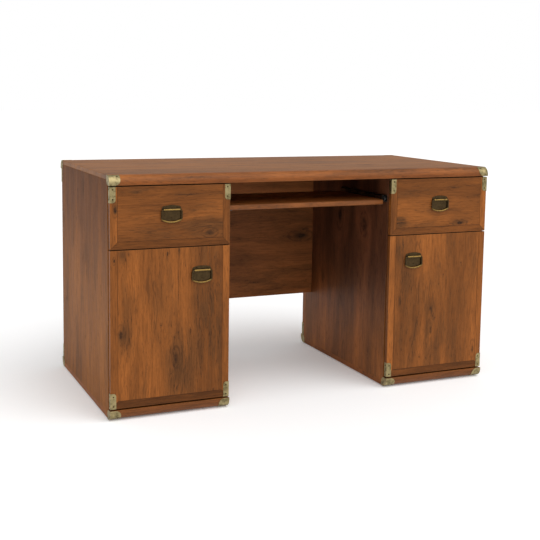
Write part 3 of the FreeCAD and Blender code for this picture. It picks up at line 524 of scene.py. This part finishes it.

# Boards. Those that the photograph shows well have its knots, and three have painted light and shade from
# foot to head.

BOX_TONES = dict(light=tone(176, 132, 88), brown=tone(150, 108, 70), deep=tone(118, 84, 54), streaks=0.3)
BOARDS = {
    "desktop_board": dict(
        order="xyz", cut=11.0, light=tone(147, 92, 40), brown=tone(122, 76, 33), sheen=0.17,
        knots=((330, 420, 30, 14, 0.5, 0.6), (1020, 180, 26, 12, 0.6, 0.6))),
    # Painted shade: its lower lip is darkened, as the round nose turns away from the light.
    "desktop_front_moulding": dict(
        order="xzy", cut=12.0, light=tone(154, 89, 37), brown=tone(124, 70, 29), sheen=MOULDING_SHEEN,
        foot=(0.76, 0.71, 0.65), head=(1.05, 1.06, 1.04), rising=(0.15, 0.75),
        knots=((285, 20, 60, 5, 0.2, 0.8), (880, 26, 140, 6, 0.1, 0.8), (1240, 28, 60, 5, 0.1, 0.8),
               (560, 8, 80, 5, 0.0, 0.6))),
    "desktop_rear_moulding": dict(order="xzy", cut=13.0, sheen=MOULDING_SHEEN),
    "front_base_mouldings": dict(
        order="xzy", cut=14.0, light=tone(139, 80, 33), brown=tone(109, 62, 25), sheen=MOULDING_SHEEN),
    "rear_base_mouldings": dict(order="xzy", cut=15.0, sheen=MOULDING_SHEEN),
    # Painted light and shade: paler towards the foot, where the floor's reflection falls, and darker towards
    # the head.
    "left_outer_side": dict(
        order="zyx", cut=16.0, light=tone(144, 89, 37), brown=tone(117, 71, 29), sheen=0.04,
        foot=(1.20, 1.20, 1.30), head=(0.74, 0.64, 0.45), rising=(0.35, 1.0)),
    "right_outer_side": dict(
        order="zyx", cut=17.0,
        knots=((520, 200, 26, 10, 0.7, 0.8), (180, 430, 22, 9, 0.6, 0.8))),
    "left_inner_side": dict(
        order="zyx", cut=18.0,
        knots=((450, 240, 26, 10, 0.7, 0.8), (150, 420, 22, 9, 0.6, 0.8))),
    # Painted shade and light: darker, duller tones, a dark head in the shade under the desktop, a lighter
    # foot where light reaches in, and the last, widest stain for the shade at the upper rear.
    "right_inner_side": dict(
        order="zyx", cut=19.0, light=tone(136, 82, 44), brown=tone(100, 60, 32), deep=tone(56, 37, 22),
        foot=(1.48, 1.42, 1.0), head=(0.64, 0.66, 0.95), rising=(0.1, 0.6),
        knots=((546, 164, 32, 21, 1.0, 1.0), (559, 352, 40, 20, 1.0, 0.9), (408, 305, 90, 14, 0.1, 0.8),
               (351, 203, 24, 7, 0.5, 0.6), (330, 118, 20, 7, 0.4, 0.6), (86, 112, 22, 9, 0.5, 0.7),
               (16, 199, 14, 6, 0.3, 0.5), (394, 398, 70, 14, 0.2, 0.8), (288, 490, 30, 10, 0.4, 0.6),
               (620, 380, 240, 200, 0.0, 0.6))),
    "modesty_panel": dict(
        order="xzy", cut=20.0, light=tone(154, 94, 50), brown=tone(121, 73, 39),
        knots=((548, 237, 40, 15, 0.9, 1.0), (515, 234, 45, 8, 0.4, 0.8), (560, 263, 14, 5, 0.9, 0.5),
               (344, 236, 120, 2, 0.4, 0.2), (346, 58, 14, 5, 0.5, 0.5), (574, 52, 10, 4, 0.4, 0.3),
               (420, 62, 320, 50, 0.0, 0.7), (120, 380, 24, 9, 0.6, 0.8))),
    "left_back_panel": dict(
        order="zxy", cut=21.0,
        knots=((420, 140, 20, 10, 0.7, 0.8), (130, 300, 18, 8, 0.6, 0.7))),
    "right_back_panel": dict(
        order="zxy", cut=22.0,
        knots=((230, 260, 20, 10, 0.7, 0.8), (560, 90, 18, 8, 0.6, 0.7))),
    "left_bottom_board": dict(order="yxz", cut=23.0),
    "right_bottom_board": dict(order="yxz", cut=24.0),
    "left_divider": dict(order="xyz", cut=25.0, streaks=INSIDE_STREAKS),
    "right_divider": dict(order="xyz", cut=26.0, streaks=INSIDE_STREAKS),
    "left_shelf": dict(order="xyz", cut=27.0, streaks=INSIDE_STREAKS),
    "right_shelf": dict(order="xyz", cut=28.0, streaks=INSIDE_STREAKS),
    # Painted light: its tones are lighter than the other boards', for the light on its front edge.
    "tray_board": dict(
        order="xyz", cut=29.0, light=tone(158, 93, 42), brown=tone(126, 73, 32), streaks=INSIDE_STREAKS,
        sheen=0.24),
    "left_drawer_sides": dict(order="yzx", cut=30.0, **BOX_TONES),
    "right_drawer_sides": dict(order="yzx", cut=31.0, **BOX_TONES),
    "left_drawer_back": dict(order="xzy", cut=32.0, **BOX_TONES),
    "right_drawer_back": dict(order="xzy", cut=33.0, **BOX_TONES),
    "left_drawer_bottom": dict(order="xyz", cut=34.0, **BOX_TONES),
    "right_drawer_bottom": dict(order="xyz", cut=35.0, **BOX_TONES),
}
for name, looks in BOARDS.items():
    dress(name, board_wood(name, **looks))

WELD_REACH = 0.00001
EDGE_RADIUS, EDGE_STEPS, EDGE_ANGLE = 0.0009, 3, 60
EASED = ("_front", "_panel", "_side", "_board", "_shelf", "_divider", "_sides", "_back")


def eased(node):
    """Round the sharp edges of a packed board a little."""
    joined = shown[node].modifiers.new("joined", "WELD")
    joined.merge_threshold = WELD_REACH
    rounded = shown[node].modifiers.new("rounded", "BEVEL")
    rounded.width = EDGE_RADIUS
    rounded.segments = EDGE_STEPS
    rounded.limit_method = "ANGLE"
    rounded.angle_limit = math.radians(EDGE_ANGLE)


for name in shown:
    if name.endswith(EASED):
        eased(name)

# Fittings

BAIL_RADIUS = 0.00275
PULLS = ("left_drawer", "right_drawer", "left_door", "right_door")
EVEN, ALONG_Y, ALONG_XY = (300.0, 300.0, 300.0), (900.0, 30.0, 900.0), (40.0, 40.0, 900.0)
BRASS = antique_brass()
NICKEL = plated("nickelled_steel", tone(205, 203, 196), tone(168, 165, 156), 0.22, ALONG_XY)
ZINC = plated("zinced_runner", tone(196, 195, 190), tone(150, 149, 144), 0.30, ALONG_Y)
BLACKED = plated("blacked_runner", tone(98, 97, 94), tone(66, 65, 62), 0.30, ALONG_Y)
AGED = plated("aged_heads", tone(74, 58, 34), tone(42, 32, 20), 0.42, EVEN)
NYLON = moulded("roller_nylon", tone(40, 39, 38), tone(84, 82, 78))
FOOT = moulded("glide_plastic", tone(46, 36, 29), tone(88, 74, 62))


def bail_axis(name):
    """Height of the axis that a bail swings about: the middle of its bar, which is its highest part."""
    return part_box(f"{name}_bail")[1].z - BAIL_RADIUS


for name in PULLS:
    plate_low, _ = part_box(f"{name}_handle_plate")
    pull = (bail_axis(name), plate_low.y)
    dress(f"{name}_handle_plate", dark_brass(f"{name}_plate_brass", *pull, bright_low=False))
    dress(f"{name}_bail", dark_brass(f"{name}_bail_brass", *pull, bright_low=True))
for name in shown:
    if name.endswith(("corner_caps", "corner_brackets")):
        dress(name, BRASS)
    if name.endswith(("hinge_cups", "hinge_arms")) or name == "shelf_pins":
        dress(name, NICKEL)
    if name.endswith(("runners", "tracks")):
        dress(name, BLACKED if name.startswith("tray") else ZINC)
    if name.endswith("rollers"):
        dress(name, NYLON)
dress("glides", FOOT)

# Nails and screws. Each point of a profile is its radius and its rise, in millimetres. No head faces the
# askew way, so every head finds its sides from it.

NAIL = ((0.8, 0.5), (1.8, 0.38), (2.5, 0.1), (2.5, -0.4))
SCREW = ((0.6, 0.1), (1.0, 0.15), (1.3, 0.5), (1.9, 0.45), (2.4, 0.1), (2.4, -0.4))
HEAD_ANGLES = 12
ASKEW = (0.3, 0.5, 0.8)
SHEET, PLATE_SHEET = 0.0012, 0.0015
BRACKET_WIDTH, BRACKET_DEPTH, BRACKET_HEIGHT = 0.018, 0.014, 0.050
NAIL_FROM_CORNER, NAIL_FROM_TIP = 0.0085, 0.0105
PLATE_SCREWS = ((-0.018, 0.0085), (0.018, 0.0085), (0, -0.0245))
CAP_NOSE_RADIUS, CAP_NOSE_HEIGHT, CAP_SCREW_SLOPE, CAP_SCREW_INSET = 0.0282, 0.027, math.radians(50), 0.026
TRACK_SCREW_SHARES = (0.22, 0.5, 0.85)
HINGE_BLOCK_DEPTH, HINGE_BLOCK_MIDDLE, HINGE_BLOCK_HALF, HINGE_SCREW_RISE = 0.0085, 0.0155, 0.015, 0.0095


def turned_heads(name, body, finish, profile, places):
    """Small round heads, all with one profile turned about the way that each faces.

    A point of a head is its place + radius (side cos a + over sin a) + rise times its way, for each radius
    and rise of the profile, in millimetres, and each of twelve angles a. Flat faces close the crown and the
    foot.
    """
    spots, ways = np.array(places, float).transpose(1, 0, 2)
    ways = ways / np.linalg.norm(ways, axis=1, keepdims=True)
    sides = np.cross(ways, ASKEW)
    sides /= np.linalg.norm(sides, axis=1, keepdims=True)
    overs = np.cross(ways, sides)
    turn = np.arange(HEAD_ANGLES) * math.tau / HEAD_ANGLES
    ring = sides[:, None] * np.cos(turn)[:, None] + overs[:, None] * np.sin(turn)[:, None]
    radius, rise = np.array(profile).T[:, :, None, None] / MILLIMETRES
    points = spots[:, None, None] + ring[:, None] * radius + ways[:, None, None] * rise
    index = np.arange(points.size // 3).reshape(points.shape[:3])
    onward = np.roll(index, -1, axis=2)
    walls = np.stack((index[:, :-1], index[:, 1:], onward[:, 1:], onward[:, :-1]), axis=3).reshape(-1, 4)
    crowns = index[:, 0]
    feet = index[:, -1, ::-1]
    mesh = bpy.data.meshes.new(name)
    mesh.from_pydata(points.reshape(-1, 3), [], walls.tolist() + crowns.tolist() + feet.tolist())
    mesh.polygons.foreach_set("use_smooth", np.ones(len(mesh.polygons), bool))
    mesh.materials.append(finish)
    piece = bpy.data.objects.new(name, mesh)
    bpy.context.scene.collection.objects.link(piece)
    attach(piece, body)


def bracket_nails(near, across, face, into, end, up):
    """Two nails on each wing of a bracket, given its outer corner (near, face, end) and the ways from it."""
    face_x = near + across * BRACKET_WIDTH / 2
    edge_y = face + into * BRACKET_DEPTH / 2
    for rise in (NAIL_FROM_CORNER, BRACKET_HEIGHT - NAIL_FROM_TIP):
        z = end + up * rise
        yield (face_x, face - into * SHEET, z), (0, -into, 0)
        yield (near - across * SHEET, edge_y, z), (-across, 0, 0)


def front_nails(name, front, up):
    """Nails of the two brackets at the head or foot of a front."""
    low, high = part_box(front)
    end = low.z if up > 0 else high.z
    places = [nail for near, across in ((low.x, 1), (high.x, -1))
              for nail in bracket_nails(near, across, low.y, 1, end, up)]
    turned_heads(f"{name}_bracket_nails", name, AGED, NAIL, places)


def plate_screws(name):
    """Two screws above a pull's knuckle and one in the middle of its plate."""
    low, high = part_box(f"{name}_handle_plate")
    middle, axis = (low.x + high.x) / 2, bail_axis(name)
    face = high.y - PLATE_SHEET
    places = [((middle + x, face, axis + z), (0, -1, 0)) for x, z in PLATE_SCREWS]
    turned_heads(f"{name}_plate_screws", name, AGED, SCREW, places)


def cap_screws():
    """One screw on the round nose of each cap, near its inner end."""
    outward = CAP_NOSE_RADIUS * math.cos(CAP_SCREW_SLOPE)
    upward = CAP_NOSE_RADIUS * math.sin(CAP_SCREW_SLOPE)
    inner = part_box("left_bottom_board")[1].x
    places = []
    for node, up in (("desktop_corner_caps", 1), ("base_corner_caps", -1)):
        low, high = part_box(node)
        centre = high.z - CAP_NOSE_HEIGHT if up > 0 else low.z + CAP_NOSE_HEIGHT
        ends = [(high.x - SHEET, -1), (low.x + SHEET, 1)]
        ends += [] if up > 0 else [(-inner, 1), (inner, -1)]
        for end, across in ends:
            x = end + across * CAP_SCREW_INSET
            for edge, into in ((low.y, 1), (high.y, -1)):
                y = edge + into * (CAP_NOSE_RADIUS - outward)
                places.append(((x, y, centre + up * upward), (0, -into * outward, up * upward)))
    turned_heads("cap_screws", "carcass", AGED, SCREW, places)


def back_nails():
    """Nails of the brackets on the corners of the back panels."""
    places = []
    for node in ("left_back_panel", "right_back_panel"):
        low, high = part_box(node)
        for near, across in ((low.x, 1), (high.x, -1)):
            for end, up in ((low.z, 1), (high.z, -1)):
                places += bracket_nails(near, across, high.y, -1, end, up)
    turned_heads("back_bracket_nails", "carcass", AGED, NAIL, places)


def inner_screws():
    """Three screws through each runner track's web, and two through each hinge block."""
    places = []
    left_out, left_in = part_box("left_outer_side")[1].x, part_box("left_inner_side")[0].x
    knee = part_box("left_inner_side")[1].x
    walls = {"drawer_tracks": ((left_out, 1), (left_in, -1), (-left_in, 1), (-left_out, -1)),
             "tray_tracks": ((knee, 1), (-knee, -1))}
    for node, sides in walls.items():
        low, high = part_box(node)
        for x, way in sides:
            for share in TRACK_SCREW_SHARES:
                place = (x + way * SHEET, low.y + share * (high.y - low.y), (low.z + high.z) / 2)
                places.append((place, (way, 0, 0)))
    low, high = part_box("door_hinge_arms")
    y = high.y - HINGE_BLOCK_MIDDLE
    for x, way in ((left_out, 1), (-left_out, -1)):
        for level in (low.z + HINGE_BLOCK_HALF, high.z - HINGE_BLOCK_HALF):
            for rise in (-HINGE_SCREW_RISE, HINGE_SCREW_RISE):
                places.append(((x + way * HINGE_BLOCK_DEPTH, y, level + rise), (way, 0, 0)))
    turned_heads("runner_and_hinge_screws", "carcass", NICKEL, SCREW, places)


for name in ("left_drawer", "right_drawer"):
    front_nails(name, f"{name}_front", -1)
    plate_screws(name)
for name in ("left_door", "right_door"):
    front_nails(name, f"{name}_panel", 1)
    plate_screws(name)
cap_screws()
back_nails()
inner_screws()

# Floor, light and camera

FLOOR_REACH = 40.0
# The floor's faint emission is painted light: it glows though it is no lamp, lifting its shadows and lighting
# the desk from below.
FLOOR_FINISH_AND_GLOW = {"Base Color": (0.97, 0.97, 0.97, 1.0), "Roughness": 0.9, "Specular IOR Level": 0.1,
                "Emission Color": (1.0, 1.0, 1.0, 1.0), "Emission Strength": 0.12}
SURROUND_LIGHT, SURROUND_SEEN = 0.52, 1.0
LAMP_FROM, LAMP_SPREAD, LAMP_POWER, LAMP_DISTANCE = (0.22, -0.55, 0.80), 70.0, 2.05, 5.0
CAMERA_PLACE = (-1.4695, -3.2977, 1.0458)
CAMERA_HEADING, CAMERA_TILT, CAMERA_ROLL = 0.41727, 0.11583, 0.01446
CAMERA_LENS, CAMERA_SENSOR, CAMERA_SHIFT, CAMERA_REACH = 65.873, 36.0, -0.12, 200.0


def floor():
    """Flat square far wider than the desk, at floor height, glowing faintly as painted light."""
    corners = np.array([(-1, -1, 0), (1, -1, 0), (1, 1, 0), (-1, 1, 0)]) * FLOOR_REACH
    mesh = bpy.data.meshes.new("floor")
    mesh.from_pydata(corners.tolist(), [], [(0, 1, 2, 3)])
    ground = bpy.data.objects.new("floor", mesh)
    bpy.context.scene.collection.objects.link(ground)
    material, _, shader, _ = finish_named("pale_floor")
    for label, value in FLOOR_FINISH_AND_GLOW.items():
        shader.inputs[label].default_value = value
    mesh.materials.append(material)


def soft_lamp():
    """Wide soft light from far away, high in front of the desk and a little to the right."""
    lamp = bpy.data.lights.new("front_light", "SUN")
    lamp.angle = math.radians(LAMP_SPREAD)
    lamp.energy = LAMP_POWER
    holder = bpy.data.objects.new("front_light", lamp)
    bpy.context.scene.collection.objects.link(holder)
    back = np.array(LAMP_FROM) / np.linalg.norm(LAMP_FROM)
    right = np.cross((0.0, 0.0, 1.0), back)
    right /= np.linalg.norm(right)
    turn = np.eye(4)
    turn[:3] = np.column_stack((right, np.cross(back, right), back, back * LAMP_DISTANCE))
    holder.matrix_world = Matrix(turn.tolist())


def studio():
    """White surroundings, brighter where the camera sees them than they shine."""
    world = bpy.data.worlds.new("white_studio")
    bpy.context.scene.world = world
    world.use_nodes = True
    w = Wiring(world.node_tree)
    seen = w.add("ShaderNodeLightPath", {}).outputs["Is Camera Ray"]
    strength = w.between(seen, SURROUND_LIGHT, SURROUND_SEEN)
    surround = w.add("ShaderNodeBackground", {"Color": (1.0, 1.0, 1.0, 1.0), "Strength": strength})
    w.add("ShaderNodeOutputWorld", {0: surround.outputs[0]})
    bpy.context.scene.view_settings.view_transform = "Standard"


def camera():
    """Camera from the corners of the desk in the photograph: place, heading, tilt, roll and lens."""
    heading, tilt, roll = CAMERA_HEADING, CAMERA_TILT, CAMERA_ROLL
    ahead = math.cos(tilt)
    forward = np.array((math.sin(heading) * ahead, math.cos(heading) * ahead, -math.sin(tilt)))
    level = np.array((math.cos(heading), -math.sin(heading), 0.0))
    upward = np.cross(level, forward)
    right = math.cos(roll) * level + math.sin(roll) * upward
    top = math.cos(roll) * upward - math.sin(roll) * level
    turn = np.eye(4)
    turn[:3] = np.column_stack((right, top, -forward, CAMERA_PLACE))
    lens = bpy.data.cameras.new("camera")
    lens.sensor_width = CAMERA_SENSOR
    lens.lens = CAMERA_LENS
    lens.shift_y = CAMERA_SHIFT
    lens.clip_end = CAMERA_REACH
    holder = bpy.data.objects.new("camera", lens)
    bpy.context.scene.collection.objects.link(holder)
    holder.matrix_world = Matrix(turn.tolist())
    bpy.context.scene.camera = holder


floor()
studio()
soft_lamp()
camera()
